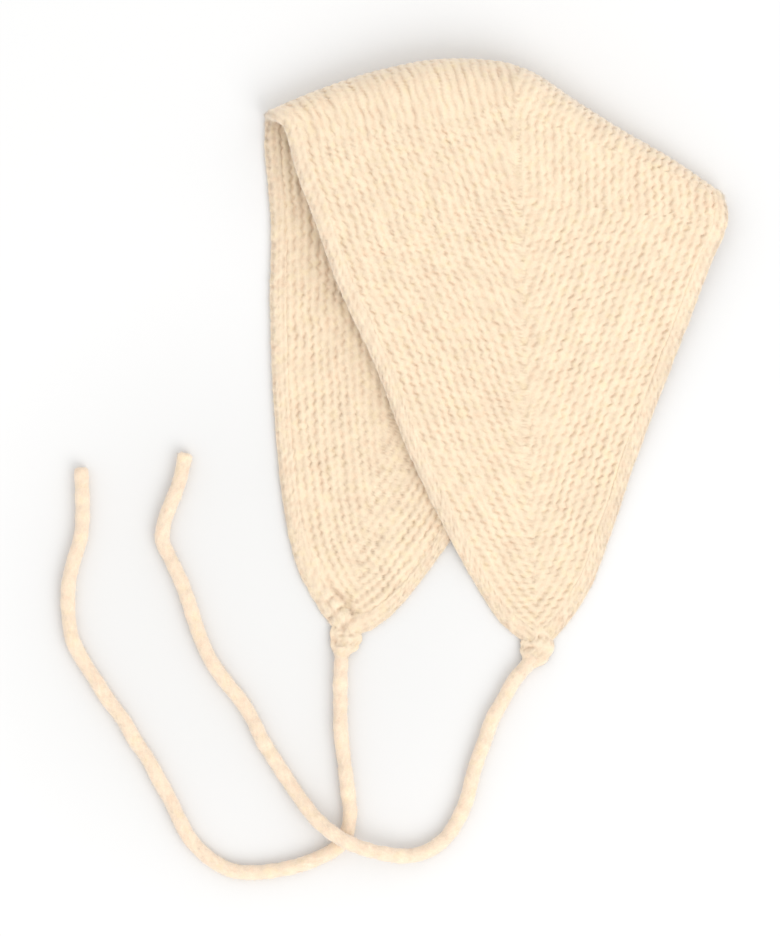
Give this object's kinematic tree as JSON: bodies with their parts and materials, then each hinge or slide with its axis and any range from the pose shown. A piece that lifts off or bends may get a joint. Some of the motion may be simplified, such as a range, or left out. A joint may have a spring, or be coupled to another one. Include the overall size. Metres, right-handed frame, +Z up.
{
  "type": "baby bonnet",
  "caption": "Knitted baby bonnet with pointed ear flaps and felted ties, lying folded on its side, open at the face and the nape.",
  "frame": {"origin": "middle of the bonnet's own box, without its ties, on the surface it lies on", "axes": "+X towards the nape, +Y from the ear tips towards the crown, +Z up, away from the surface"},
  "size_m": [0.2715, 0.3368, 0.025],
  "materials": {
    "knit": "soft garter-stitch wool, cream",
    "edging": "smooth knitted wool edging, cream",
    "gather": "gathered wool stitches, cream",
    "tie": "felted wool cord, cream"
  },
  "bodies": {
    "root": {"knit_shell": "knit", "face_edging": "edging", "nape_edging": "edging", "near_tip_gather": "gather", "far_tip_gather": "gather", "near_tie": "tie", "far_tie": "tie"}
  },
  "joints": []
}
